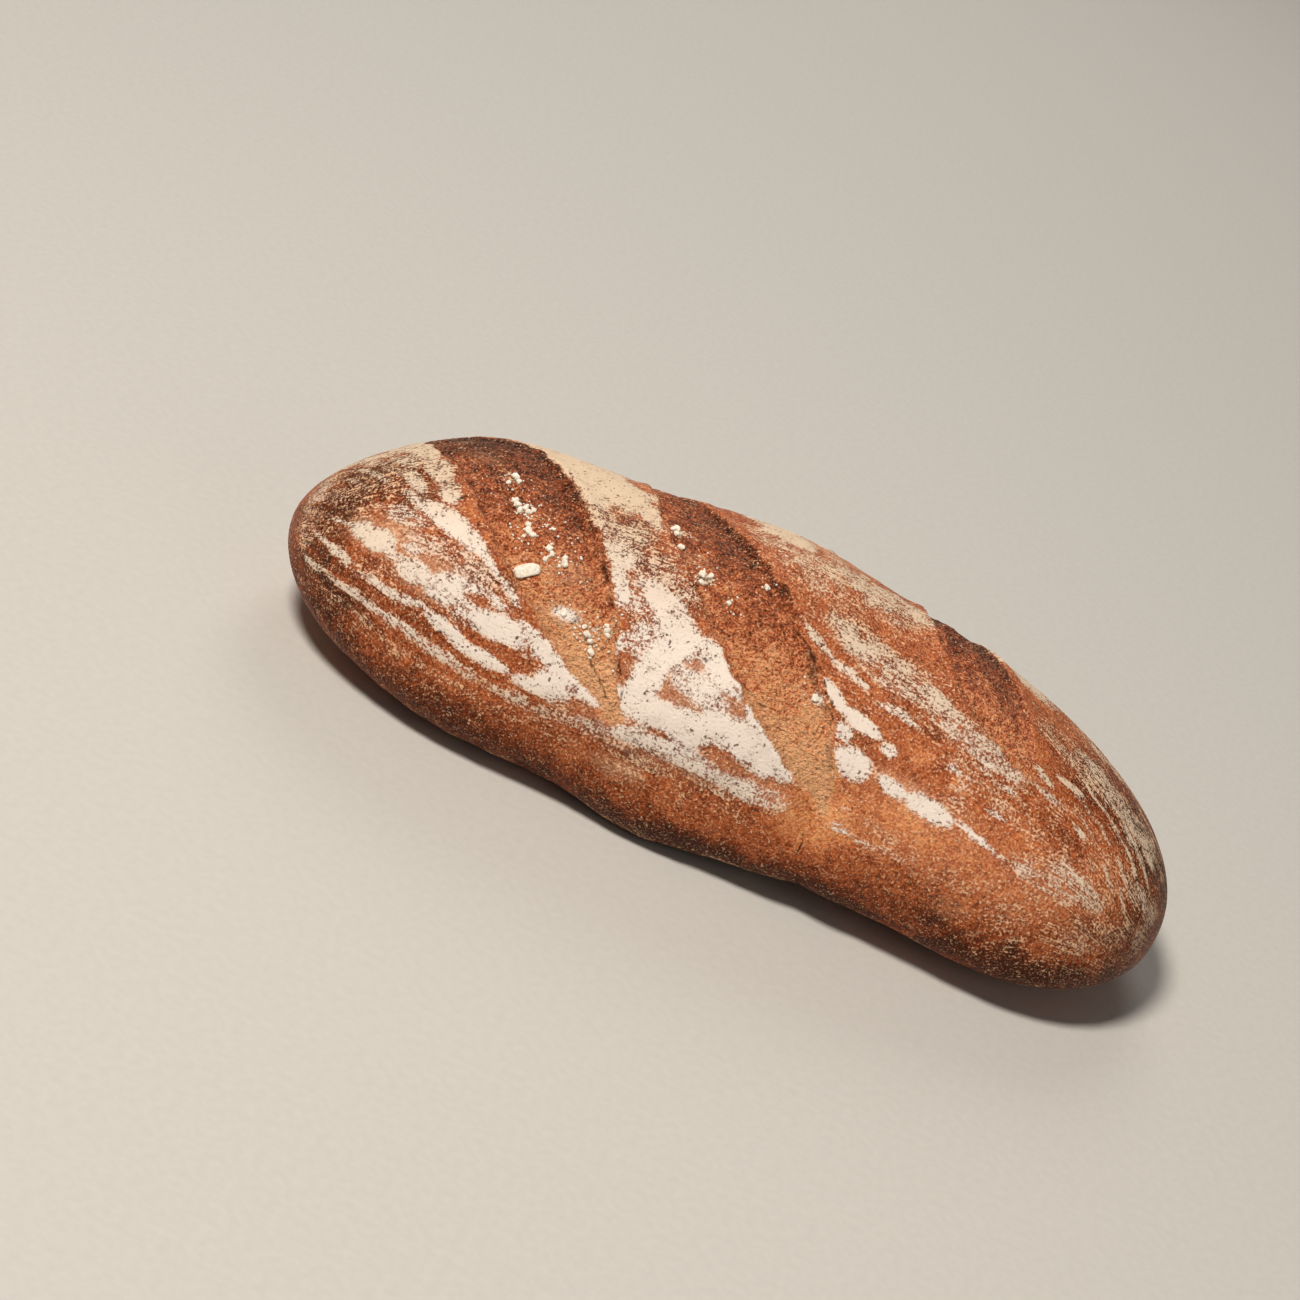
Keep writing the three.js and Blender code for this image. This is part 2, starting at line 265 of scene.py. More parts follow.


# Flour, placed as it lies on the loaf: along, around, half length, half width, slant in
# degrees, amount. Above 1 it covers the crust, 0.5 speckles it half.
flour = {
    "leftEnd": [
        (-137, -12, 18, 8, 62, 0.95), (-131, 3, 14, 5.5, 62, 0.86), (-123, 17, 12, 4.5, 58, 0.82),
        (-116, 28, 9, 4, 52, 0.74), (-111, 42, 13, 5, 28, 1.25), (-102, 46.5, 8, 3.2, 32, 1.1),
        (-92, 53.6, 9, 2, 38, 0.66), (-81, 61.5, 9, 2, 36, 0.62), (-150, -10, 16, 8, 30, 0.8),
        (-155, 12, 6, 14, 0, 0.38), (-145, 4, 14, 4, 60, 0.56), (-138, 16, 14, 3, 56, 0.48),
        (-136, 8, 14, 5, 62, 0.7), (-129, 24, 12, 3.4, 52, 0.74), (-148, 24, 14, 2.4, 50, 0.5),
        (-140, 30, 16, 12, 50, 0.34), (-126, 44, 16, 6, 14, 0.58), (-152, 40, 6, 14, 0, 0.42),
        (-112, 54, 18, 6, 6, 0.48), (-96, 58, 14, 6, 16, 0.46), (-132, 59, 9.5, 7, 8, 1.4),
        (-144, 57, 6, 2.2, -8, 0.85), (-122, 64, 6, 2.4, 0, 0.8), (-114, 67, 7, 5, 10, 1.05),
        (-102, 69, 7, 7, 30, 1.02), (-94, 64, 8, 2.6, 8, 0.7), (-118, 58, 5, 3, 0, 0.7),
        (-158, 30, 4, 34, 0, 0.55), (-155, 74, 5, 26, 0, 0.42), (-124, 36, 12, 2.4, 40, 0.66),
        (-142, 20, 18, 2, 55, 0.6),
    ],
    "stripes": [
        (-97, 82, 9, 3, 16, 1.15), (-80, 86.4, 14, 2.8, 6, 1.25), (-62, 87.4, 12, 2.8, 0, 1.1),
        (-57, 84, 7, 4.4, 20, 1.3), (-44, 82.6, 8, 3, 0, 0.9), (-141, 74.5, 12, 3.2, 10, 0.92),
        (-122, 79, 13, 2.8, 12, 0.82), (-108, 79, 8, 1.8, 4, 0.85), (-147, 93, 8, 3, -30, 0.85),
        (-132, 89.8, 12, 3.2, -8, 0.8), (-114, 90.4, 16, 2.8, 4, 0.76), (-92, 93.4, 18, 3, 7, 0.74),
        (-66, 94.6, 18, 3, 0, 0.7), (-42, 93, 14, 4, -4, 0.58), (-130, 98, 20, 2.2, -4, 0.7),
        (-100, 100, 24, 2.4, 2, 0.7), (-134, 79, 14, 1.4, 10, 0.66), (-72, 100.6, 22, 2, 2, 0.62),
        (-141, 104, 14, 2, -20, 0.62), (-114, 103, 18, 1.4, 0, 0.52), (-48, 100, 20, 3, 0, 0.56),
        (-24, 102, 14, 5, 0, 0.62), (-100, 105.4, 34, 1.8, 0, 0.56), (-128, 71, 16, 1.4, 4, 0.5),
        (-56, 106, 24, 1.6, 0, 0.4),
    ],
    "underFirstSlash": [
        (-80, 73.6, 12, 5, 0, 1.4), (-92, 72.4, 7, 4, 8, 0.9), (-61, 76.4, 11, 3.6, 26, 1.25),
        (-70, 70.6, 9, 2, 26, 0.9), (-71, 78, 12, 1.6, 2, 0.66), (-84, 66, 12, 3, 20, 0.58),
        (-94, 77, 10, 2, 10, 0.5), (-52, 79, 6, 2.4, 22, 1.1),
    ],
    "betweenSlashes": [
        (-84, -10, 22, 17, 25, 1.4), (-68, -2, 18, 13, 25, 1.3), (-74, 9, 10, 6, 30, 1.1),
        (-55, 4, 14, 5, 55, 0.95), (-60, 22, 24, 15, 40, 0.56), (-56, 33, 7, 4, 20, 1.0),
        (-50, 44, 10, 3, 55, 0.95), (-38, 33, 22, 13, 25, 0.5), (-34, 44, 14, 5, 25, 1.2),
        (-46, 46, 12, 9, 10, 0.6), (-36, 57, 7, 12, 20, 0.66), (-12, 66, 16, 7, 10, 0.72),
        (-72, 34, 6, 12, 30, 0.6), (-26, 53, 10, 8, 20, 1.35), (-29, 66, 6, 18, 0, 1.35),
        (-12, 54, 12, 5, 22, 1.0), (-4, 60, 10, 4, 25, 1.05), (-12, 65, 12, 5, 10, 0.78),
        (-16, 78, 20, 6, -2, 1.4), (8, 75, 20, 7, 2, 1.4), (14, 67, 12, 5, 20, 1.2),
        (-42, 63, 5, 9, 30, 0.85), (-28, 89, 18, 4, -2, 0.76), (-8, 88.4, 18, 5, 2, 0.82),
        (8, 91, 22, 5, -4, 0.78), (-20, 96, 20, 5, 2, 0.58), (22, 88, 12, 3, -8, 0.5),
        (4, 101, 20, 4, -3, 0.5),
    ],
    "rightOfSlashes": [
        (14, 32, 9, 2.2, 22, 0.86), (30, 37.4, 10, 2, 12, 0.82), (53, 41.5, 10, 2, 8, 0.78),
        (27, 25, 9, 5, 0, 0.82), (34, 24, 24, 8, 0, 0.66), (58, 27, 10, 4, 0, 0.85),
        (48, 32, 18, 5, 0, 0.55), (0, 2, 26, 12, 30, 0.55), (30, -5, 24, 13, 10, 0.72),
        (-14, -36, 20, 10, 20, 0.85), (48, 41, 8, 2.4, -10, 0.75), (66, 31, 10, 5, 10, 0.62),
        (88, 42, 14, 1.4, 5, 0.5), (94, 53, 7, 1.6, 12, 0.5), (28, 46.5, 7, 2.8, 40, 1.35),
        (41, 51, 8, 3, 8, 1.3), (52, 54.5, 3.4, 2.4, 0, 1.1), (42.5, 64.5, 7.5, 5.4, 8, 1.25),
        (58, 65, 6, 3, 5, 1.2), (71.6, 65, 8, 4.4, 0, 1.5), (91, 65, 10, 1.5, 10, 0.85),
        (36, 57, 4, 3.4, 30, 1.0), (76, 34, 26, 7, 2, 0.6), (96, 42, 7, 1.4, 5, 0.7),
        (92, 53, 8, 1.6, 0, 0.62), (66, 44, 10, 1.2, 4, 0.5), (60, 80, 22, 5, 3, 0.3),
        (70, 86, 16, 2, 2, 0.42), (62, 74.6, 16, 1.2, 4, 0.42), (94, 84, 16, 5, 0, 0.3),
        (92, 44, 44, 13, 2, 0.36), (98, 66, 8, 2.2, 14, 0.5), (50, 86.8, 12, 1.4, 4, 0.64),
        (49, 74.6, 12, 1.6, 8, 0.42), (74, 47.5, 5, 2, 0, 0.8),
    ],
    "rightEnd": [
        (112, 21.5, 7, 1.8, -8, 1.15), (102, 27, 8, 2, 20, 0.85), (107, 32.5, 9, 3, -6, 0.62),
        (121, 36.5, 4, 1.6, 10, 0.9), (138, 8, 12, 5, 20, 0.7), (148, 12, 8, 4, 50, 0.75),
        (141, 18, 9, 3, 34, 0.7), (128, 2, 30, 8, 12, 0.62), (141, 26, 7, 1.2, 46, 0.95),
        (140, 37, 8, 1.2, 52, 0.85), (130, 28, 7, 1.2, 40, 0.85), (124, 16, 14, 1.4, 20, 0.72),
        (116, 8, 26, 6, 8, 0.5), (146, -14, 10, 1.4, 22, 0.9), (132, 20, 14, 1.2, 32, 0.72),
        (129, 57, 3.4, 1.4, 60, 0.85), (125, 55, 4, 1.6, -20, 0.7), (130, 60, 15, 10, 20, 0.58),
        (116, 66, 18, 5, 6, 0.5), (110, 46, 18, 8, 8, 0.42), (136, 84, 12, 12, 0, 0.44),
        (150, 42, 9, 9, 50, 0.5), (157, 50, 4, 18, 0, 0.56), (136, 46, 9, 1.2, 58, 0.7),
        (144, 52, 9, 1.2, 64, 0.72), (148, 70, 6, 16, 0, 0.42), (156, 74, 4, 22, 0, 0.5),
        (138, 70, 9, 9, 0, 0.36), (132, 40, 16, 14, 40, 0.34), (132, 84, 6, 7, 0, 0.36),
        (146, 0, 8, 12, 0, 0.5), (150, 28, 9, 1.2, 66, 0.85), (152, 44, 9, 1.2, 74, 0.8),
        (134, 12, 12, 1.2, 28, 0.8), (120, 24, 12, 1.2, 22, 0.62), (146, 34, 8, 1.2, 60, 0.75),
        (126, 34, 12, 1.2, 36, 0.6), (132, 50, 8, 1.2, 50, 0.55),
    ],
    "farSide": [
        (-98, -24, 18, 8, 52, 1.25), (-90, -40, 13, 5, 36, 1.05), (-104, -46, 20, 6, 14, 0.66),
        (-84, -54, 22, 3, 8, 0.79), (-14, -22, 20, 10, 52, 1.3), (-2, -38, 16, 8, 44, 1.1),
        (-24, -42, 14, 10, 30, 0.6), (8, -52, 18, 4, 22, 1.05), (4, -63, 26, 3.4, 8, 0.92),
        (30, -58, 14, 6, 30, 0.56), (82, -22, 22, 7, 8, 1.05), (98, -34, 24, 4, 4, 0.85),
        (70, -38, 16, 8, 20, 0.6), (88, -47, 26, 3, -3, 0.79), (118, -44, 22, 8, -10, 0.56),
        (126, -24, 20, 5, -16, 0.7), (-66, -67, 34, 2.2, 3, 0.76), (-104, -64, 26, 2, -7, 0.69),
        (-40, -74, 44, 1.8, -3, 0.63), (-92, -78, 40, 2, 4, 0.62), (22, -76, 30, 2.6, 5, 0.74),
        (72, -62, 34, 1.8, -4, 0.65), (60, -74, 20, 3, 8, 0.58), (92, -84, 40, 1.8, -2, 0.62),
        (-8, -86, 46, 2, 3, 0.6), (40, -92, 40, 2.4, -3, 0.65), (-72, -90, 44, 1.8, -2, 0.58),
        (110, -70, 26, 1.6, -8, 0.58), (-20, -97, 50, 2.2, -1, 0.55), (70, -101, 44, 1.8, 2, 0.49),
        (-104, -101, 34, 2.4, 5, 0.51), (128, -92, 18, 2.4, 8, 0.49), (-142, -52, 9, 5, 20, 0.8),
        (-148, -78, 7, 14, 0, 0.42), (152, -50, 6, 26, 0, 0.5), (146, -84, 8, 12, 0, 0.42),
        (44, -50, 26, 8, 20, 0.42), (-44, -58, 22, 8, 16, 0.42), (20, -109, 70, 3, 1, 0.37),
        (-80, -110, 50, 3, -1, 0.35),
    ],
    "baseRim": [(40, 121, 70, 2, 0, 0.6), (-70, 124, 60, 1.6, 0, 0.42), (0, -122, 130, 2, 0, 0.5)],
    "underside": [(-40, 168, 90, 9, 3, 0.6), (60, 160, 70, 8, -4, 0.55), (0, -158, 120, 10, 2, 0.6)],
}
flourLay = {
    "everywhere": 0.14,  # a little clings to the whole crust
    "clusters": 0.24,
    "clusterSize": 16,
    "straying": 0.22,  # how raggedly a stroke ends, as a share of its half width
    "strayingSize": 9,
    "scantLow": ((88, 108), (116, 124)),  # rubbed off low on the side: from where, and up to where
    "scantShare": 0.7,
    "heaped": 0.62,  # amounts above the next one count by this much
    "heapedFrom": 0.7,
    "rise": 0.2,
    "streaky": (1.2, 1.3),  # everywhere, and as much more at the ends
    "endsFrom": (0.55, 0.85),
    "leftEndShare": 0.6,
    "loneBelow": (0.28, 0.56),  # with less flour than this its grains lie alone
    "flourShadeByCrest": (15, 60),  # painted shade: the flour takes a warmer, darker colour near the crest, low on the side and at the ends
    "flourShadeLow": (84, 100),
    "onBurst": 0.12,
    "streakBend": 50,  # streaks run along the loaf, slant a little and bend round its ends
    "streakSlant": 0.03,
    "streakCrowding": 0.5,
}

# Skin left bare between the streaks, and flour rubbed to a thin film on it, placed the same way.
# The last two are the film and the flour caught inside the slashes.
bare = [
    (40, 93, 5, 15, 0, 0.8), (-150, 50, 10, 3.6, 5, 0.85), (-137, 69, 16, 2.2, 6, 0.85),
    (-130, 84, 22, 3, 4, 0.9), (-104, 87, 12, 1.8, 10, 0.75), (-76, 82, 14, 1.8, 5, 0.85),
    (-128, 93.6, 18, 1.5, 4, 0.8), (-98, 96.6, 22, 1.3, 4, 0.7), (-110, 75, 12, 1.8, 8, 0.6),
    (-40, 64, 2.4, 6, -20, 0.35), (70, 75, 36, 5, 0, 0.6), (63, 46, 8, 5, 20, 0.75),
    (21, 40, 13, 2, 24, 0.8), (-30, 28, 14, 4, 25, 0.2), (-62, 14, 6, 3, 40, 0.3),
    (-6, 93, 20, 1.6, 0, 0.4), (30, 96, 20, 3, 0, 0.5), (-150, 100, 7, 3, -30, 0.6),
    (-40, 88, 8, 1.6, 0, 0.5), (112, 44, 16, 5, 0, 0.5), (-74, 80, 5, 2, 0, 0.35),
]
film = [
    (-108, 67, 13, 8, 6, 0.5), (-26, 101, 10, 4, 0, 0.35), (-20, 90, 30, 6, 0, 0.25),
    (8, 86, 24, 5, 0, 0.25), (66, 64, 14, 5, 0, 0.5), (92, 94, 7, 5, 0, 0.16), (88, 74, 56, 16, 0, 0.09),
    (-12, 66, 24, 16, 0, 0.4), (-130, 57, 14, 10, 0, 0.5), (-84, -6, 26, 18, 25, 0.7),
    (-110, 43, 14, 4, 28, 0.4), (-80, 73, 14, 4, 0, 0.35), (10, -30, 30, 14, -12, 0.5),
    (84, -34, 24, 12, -10, 0.5),
]
burstFilm = [
    (-62, 61, 7, 3.4, 0, 0.75), (-40, 66, 4, 5, 30, 0.25), (24, 51, 3.4, 3, 0, 0.6),
    (-112, 3, 6, 4, 30, 0.18), (-124, -14, 6, 4, 0, 0.12), (-34, 21, 7, 4, 30, 0.2),
    (-58, -18, 6, 5, 0, 0.25), (-68, 46, 8, 7, 20, 0.34),
]
caught = [
    (-62, 60.5, 5, 2.2, 0, 0.95), (-52, 63, 2, 4, 30, 0.5), (24, 51, 2.4, 2, 0, 0.95),
    (-38, 66, 2.4, 5, 30, 0.42), (-90, 27, 7, 4, 30, 0.26), (-41, 9.5, 3, 2.4, 20, 0.75),
    (-27, 28, 4, 2.6, 10, 0.6), (-100, 14, 5, 3, 30, 0.45),
]

# Where the crust browned more (above 0) or stayed golden (below 0), placed the same way. The strokes low on
# both sides and along the base are painted shade, darker towards the floor, and the golden one at along 60,
# around 76 also carries a painted sheen.
browningAndShade = [
    (-150, 66, 14, 30, 0, 0.3), (-96, 118, 60, 16, 0, 0.3), (40, 88, 9, 14, 70, -0.28),
    (34, 72, 6, 9, 30, -0.5), (-34, 84, 6, 5, 0, -0.4), (60, 76, 20, 12, 0, -0.16),
    (156, 60, 12, 60, 0, 0.24), (150, -10, 14, 30, 0, 0.2), (20, 124, 60, 14, 0, 0.46),
    (70, 110, 34, 10, 0, 0.14), (122, 114, 40, 14, 0, 0.45), (-138, 26, 22, 22, 30, 0.34),
    (-146, 0, 16, 20, 0, 0.14), (-148, 52, 12, 7, 0, 0.14), (92, 94, 9, 6, 10, 0.02),
    (-142, 102, 20, 14, -20, 0.3), (-116, 74, 26, 5, 8, 0.14), (42, 103, 6, 12, 0, -0.14),
    (-60, 20, 20, 13, 30, 0.18), (-35, 34, 18, 8, 25, 0.14), (96, 66, 36, 20, 0, -0.1),
    (-90, 58, 20, 9, 12, 0.12), (-126, 84, 30, 5, 5, 0.18), (-126, 95, 30, 4, 3, 0.16),
    (132, 4, 30, 24, 10, 0.26), (98, 99, 18, 6, 0, 0.14), (138, 92, 26, 14, 0, 0.1),
    (152, 34, 10, 40, 0, 0.06), (44, 26, 30, 12, 0, 0.06), (-15, 92, 30, 8, 0, 0.1),
    (-20, 112, 90, 9, 0, 0.09), (0, 166, 150, 24, 0, 0.1), (0, -166, 150, 24, 0, 0.1),
    (140, 75, 9, 5, 10, 0.2), (62, 50, 5, 4, 0, -0.2), (78, 52, 5, 4, 0, -0.22), (64, 40, 6, 3, -20, 0.2),
    (118, 46, 12, 8, 0, 0.08), (-90, -70, 40, 22, 0, 0.14), (30, -60, 40, 18, 0, 0.1),
    (80, -96, 50, 16, 0, -0.1), (-30, -104, 50, 14, 0, -0.12), (-140, -60, 20, 50, 0, 0.18),
    (60, -126, 60, 10, 0, 0.22), (-70, -126, 60, 10, 0, 0.18), (-96, 100, 20, 6, -4, -0.02),
]

# Thin cracks, with painted shade inside: half width, then the places each runs through.
cracks = [
    (0.1, [(-59.4, 38.7), (-56.5, 42.6), (-54.4, 44.5)]),
    (0.05, [(-47.4, 56.1), (-41.6, 65.5), (-36, 73.4), (-34.5, 78.2)]),
    (0.15, [(-48.5, 71), (-46.1, 74.3), (-42.7, 77.3), (-37.6, 81.6), (-35.5, 82.9)]),
    (0.1, [(6.3, 31.9), (11.8, 35.8), (16.3, 38.6), (22.3, 42.5), (25.3, 47.7), (29, 49.9), (30.7, 55.2)]),
    (0, [(30.7, 55.2), (32.5, 61.7), (34.5, 66.5)]),
    (0.15, [(-29.8, 35.6), (-29.4, 34.7), (-28.4, 31.9), (-27, 30.4)]),
    (0.15, [(-12.4, 47.2), (-12.1, 46.4), (-11.7, 44.5), (-9.4, 42.5)]),
    (0.1, [(-18.4, 54.6), (-17.1, 55.4), (-14.9, 56.1), (-13, 54.9), (-11.3, 53.5)]),
    (0.3, [(7.6, 61.3), (9.9, 61)]), (0, [(14, 64.4), (16.1, 65.2), (19.3, 66.8), (22.9, 68.8)]),
    (0, [(34.5, 81.4), (36, 84.4), (38.4, 86.1), (39.6, 84.6), (38.6, 79.4)]),
    (0, [(59.3, 48.7), (62.1, 44.7), (64.4, 41.4)]), (0.3, [(-112.8, 31), (-110.6, 28.9)]),
    (0.2, [(-102.2, 41.8), (-101.7, 39.7)]), (0, [(69.9, 21.2), (77.4, 24.5), (84.6, 28)]),
    (0, [(38, 92), (40, 98), (39.4, 104)]), (0, [(88, 93), (93, 95.6), (98, 97.6)]),
]
crackWander = {"by": 0.8, "size": 5}  # how far they stray from those places, in mm


def strokesAt(strokes, along, around, straying, join):
    total = np.zeros(len(along))
    for x, y, halfLength, halfWidth, slant, amount in strokes:
        turn = math.radians(slant)
        dx = along - x
        dy = around - y
        u = dx * math.cos(turn) + dy * math.sin(turn)
        v = dy * math.cos(turn) - dx * math.sin(turn)
        reach = np.hypot(u / halfLength, v / halfWidth) + straying
        total = join(total, amount * (1 - ease(reach, 0.45, 1.4)))
    return total


# Distance from the nearest crack's edge, cut off once it is too far to matter.
def crackAt(along, around, straying):
    x = along + straying[0] * crackWander["by"]
    y = around + straying[1] * crackWander["by"]
    nearest = np.full(len(along), 4.0)
    for halfWidth, places in cracks:
        for (x0, y0), (x1, y1) in zip(places, places[1:]):
            reach = (x1 - x0) ** 2 + (y1 - y0) ** 2
            t = np.clip(((x - x0) * (x1 - x0) + (y - y0) * (y1 - y0)) / reach, 0, 1)
            gap = np.hypot(x - x0 - t * (x1 - x0), y - y0 - t * (y1 - y0))
            nearest = np.minimum(nearest, gap - halfWidth)
    return nearest


def linear(colour):
    parts = (int(colour[i:i + 2], 16) / 255 for i in (1, 3, 5))
    return (*(p / 12.92 if p <= 0.04045 else ((p + 0.055) / 1.055) ** 2.4 for p in parts), 1)


def add(tree, kind, inputs=None, output=0, stops=None, **settings):
    node = tree.nodes.new("ShaderNode" + kind)
    for name, value in settings.items():
        setattr(node, name, value)
    if stops:
        elements = node.color_ramp.elements
        while len(elements) < len(stops):
            elements.new(0.5)
        for element, (position, colour) in zip(elements, stops):
            element.position = position
            element.color = linear(colour)
    for name, value in (inputs or {}).items():
        if isinstance(value, bpy.types.NodeSocket):
            tree.links.new(value, node.inputs[name])
        else:
            node.inputs[name].default_value = value
    return node if output is None else node.outputs[output]


def newMaterial(name):
    material = bpy.data.materials.new(name)
    material.use_nodes = True
    tree = material.node_tree
    tree.nodes.clear()
    return material, tree, add(tree, "TexCoord", output="Object")


def newObject(name, data):
    piece = bpy.data.objects.new(name, data)
    bpy.context.collection.objects.link(piece)
    return piece


def perMetre(size):  # a noise or Voronoi scale whose cells are so many millimetres
    return 1 / (size * mm)


# Baked wheat crust: sugars and starch browned on a floured skin. It is satin and mottled, with painted
# shade in its pores, golden beside the tears and mahogany on the ends. Where it burst, the crumb is coarse.
crustLook = {
    "tones": [(0.0, "#ecaa70"), (0.25, "#da8852"), (0.5, "#b66034"), (0.75, "#803812"), (1.0, "#451a04")],
    "patterns": {  # cell in mm, detail, roughness of the noise, weight
        "blotch": (14, 4, 0.5, 0.4), "mottle": (3.0, 4, 0.65, 0.75), "grain": (0.9, 1.5, 0.6, 0.95),
    },
    "usualTone": 0.54,
    "pore": 2.1, "poreShadeTone": "#4a281a", "poreShadeShare": 0.42,  # size in mm, then the painted shade in the pores: its tone and how strongly it shows
    "pinprick": 0.75, "pinprickTone": "#3c1a0c", "pinprickShare": 0.5,
    "roughness": 0.46,
    "gloss": 0.2,
    "burstTones": [
        (0.06, "#fdbd8a"), (0.3, "#f5a671"), (0.46, "#d8794c"), (0.64, "#a4522f"),
        (0.84, "#733b25"), (1.0, "#431d11"),
    ],
    "burstPatterns": {
        "lump": (7, 3, 0.5, 0.6), "mottle": (2.6, 2, 0.6, 0.8), "grain": (0.9, 2.0, 0.7, 1.4),
    },
    "burstRoughness": 0.55,
    "tearShadeTone": "#36190f", "tearShadeShare": 0.8,
    "crackShadeTone": "#32170c", "crackShadeShare": 0.75,
    "heights": {  # mm of bump
        "grain": -0.7, "coarse": -2.2, "crumb": 3.2, "powder": 0.08, "pores": -0.2, "crack": -0.8,
    },
    "crumb": 2.2,
}
# Wheat flour sieved over the dough and smeared by hand: dry, chalky, broken into streaks along the
# loaf and, where it is thin, into specks. Real grains are too fine to show, so these are about 1 mm.
flourLook = {
    "flourInShade": "#dcc5ab", "cool": "#f2e5da", "thin": "#efbb90", "thinShare": 0.85,
    "grain": "#f0cba4", "grainShare": 0.45, "bran": "#4d2f1f", "branShare": 0.85,
    "shade": "#5a301d", "shadeShare": 0.3, "dust": 0.25, "dimming": 0.35,
    "streak": (8, 1.4), "clot": 5, "speck": 0.9, "lone": 1.15, "branSize": 1.3,  # sizes in mm
    "roughness": 0.95,
}


fieldKinds = {  # what the mesh tells the material, and which output of the node gives it
    "flour": "Fac", "film": "Fac", "flourShade": "Fac", "streaky": "Fac", "lone": "Fac", "browningAndShade": "Fac",
    "slash": "Fac", "burst": "Fac", "tearShade": "Fac", "crack": "Fac", "streakPlace": "Vector",
}


def flouredCrust():
    material, tree, place = newMaterial("bakedWheatCrust")
    fields = {
        name: add(tree, "Attribute", output=kind, attribute_name=name, attribute_type="GEOMETRY")
        for name, kind in fieldKinds.items()
    }

    def spread(patterns, total):  # adds each noise, times its weight
        for size, detail, rough, weight in patterns:
            noise = add(tree, "TexNoise", {
                "Vector": place, "Scale": perMetre(size), "Detail": detail, "Roughness": rough,
            })
            total = add(tree, "Math", {0: noise, 1: weight, 2: total}, operation="MULTIPLY_ADD")
        return total, noise

    # The crust's tone starts from its browning, which also carries painted shade low down and a painted
    # sheen.
    tone, grain = spread(crustLook["patterns"].values(), fields["browningAndShade"])
    crustColour = add(tree, "ValToRGB", {0: tone}, stops=crustLook["tones"])
    # Painted shade in the pores, where the bump also sinks them.
    cells = {"Vector": place, "Scale": perMetre(crustLook["pore"])}
    pores = add(tree, "TexVoronoi", cells, output="Distance")
    pores = add(tree, "MapRange", {
        "Value": pores, "From Min": 0.36, "From Max": 0.1, "To Max": crustLook["poreShadeShare"],
    })
    crustColour = add(tree, "MixRGB", {0: pores, 1: crustColour, 2: linear(crustLook["poreShadeTone"])})

    burst, coarse = spread(crustLook["burstPatterns"].values(), fields["burst"])
    burstColour = add(tree, "ValToRGB", {0: burst}, stops=crustLook["burstTones"])
    # Painted shade along the torn edges.
    tearShade = add(tree, "Math", {0: fields["tearShade"], 1: crustLook["tearShadeShare"]}, operation="MULTIPLY")
    burstColour = add(tree, "MixRGB", {0: tearShade, 1: burstColour, 2: linear(crustLook["tearShadeTone"])})
    bare = add(tree, "MixRGB", {0: fields["slash"], 1: crustColour, 2: burstColour})
    fine = add(tree, "TexNoise", {
        "Vector": place, "Scale": perMetre(crustLook["pinprick"]), "Detail": 2.0, "Roughness": 0.6,
    })
    # Painted shade darkens the inside of each crack; the same mask sinks it in the bump.
    crack = add(tree, "MapRange", {
        "Value": fields["crack"], "From Min": 0.4, "From Max": 0.0, "To Max": crustLook["crackShadeShare"],
    })

    length, width = flourLook["streak"]
    stretched = add(tree, "Mapping", {
        "Vector": fields["streakPlace"], "Scale": (1 / length, 1 / width, 1 / width),
    })
    streaks = add(tree, "TexNoise", {"Vector": stretched, "Scale": 1.0, "Detail": 3.0, "Roughness": 0.65})
    cover = add(tree, "Math", {
        0: streaks, 1: fields["streaky"], 2: fields["flour"],
    }, operation="MULTIPLY_ADD")
    cover, clots = spread([(flourLook["clot"], 3, 0.65, 1.1)], cover)
    # Lone grains are round and of uneven size, and where the flour lies close they run together.
    dense = add(tree, "MapRange", {"Value": cover, "From Min": 1.15, "From Max": 1.6})
    cells = {"Vector": place, "Scale": perMetre(flourLook["lone"])}
    grains = add(tree, "TexVoronoi", cells, output="Distance")
    grains = add(tree, "Math", {0: grains, 1: 0.5}, operation="MULTIPLY")
    specks = add(tree, "TexNoise", {
        "Vector": place, "Scale": perMetre(flourLook["speck"]), "Detail": 2.5, "Roughness": 0.7,
    })
    grains = add(tree, "Math", {0: specks, 1: 0.55, 2: grains}, operation="MULTIPLY_ADD")
    specks = add(tree, "MixRGB", {0: dense, 1: grains, 2: specks})
    chance = add(tree, "MapRange", {"Value": specks, "From Min": 0.3, "From Max": 0.7}, clamp=False)
    excess = add(tree, "Math", {0: cover, 1: chance}, operation="SUBTRACT")
    # Where the flour is thin its specks are crisp, and where it is thick its edges are soft.
    starts = add(tree, "MapRange", {"Value": dense, "To Min": 1.0, "To Max": 0.92})
    fills = add(tree, "MapRange", {"Value": dense, "To Min": 1.18, "To Max": 1.42})
    powder = add(tree, "MapRange", {
        "Value": excess, "From Min": starts, "From Max": fills, "To Max": 0.97,
    }, interpolation_type="SMOOTHSTEP")
    # Crust that shows between close grains looks darker, as it lies in their shade.
    shade = add(tree, "MapRange", {
        "Value": excess, "From Min": 0.8, "From Max": 1.15, "To Max": flourLook["shadeShare"],
    })
    shade = add(tree, "Math", {0: shade, 1: dense}, operation="MULTIPLY")
    bare = add(tree, "MixRGB", {0: shade, 1: bare, 2: linear(flourLook["shade"])})
    # Single grains of flour all over the crust give it a fine pale bloom, and pinpricks pepper it.
    bloom = add(tree, "MapRange", {
        "Value": fine, "From Min": 0.57, "From Max": 0.67, "To Max": flourLook["grainShare"],
    })
    bare = add(tree, "MixRGB", {0: bloom, 1: bare, 2: linear(flourLook["grain"])})
    pepper = add(tree, "MapRange", {
        "Value": fine, "From Min": 0.42, "From Max": 0.33, "To Max": crustLook["pinprickShare"],
    })
    bare = add(tree, "MixRGB", {0: pepper, 1: bare, 2: linear(crustLook["pinprickTone"])})
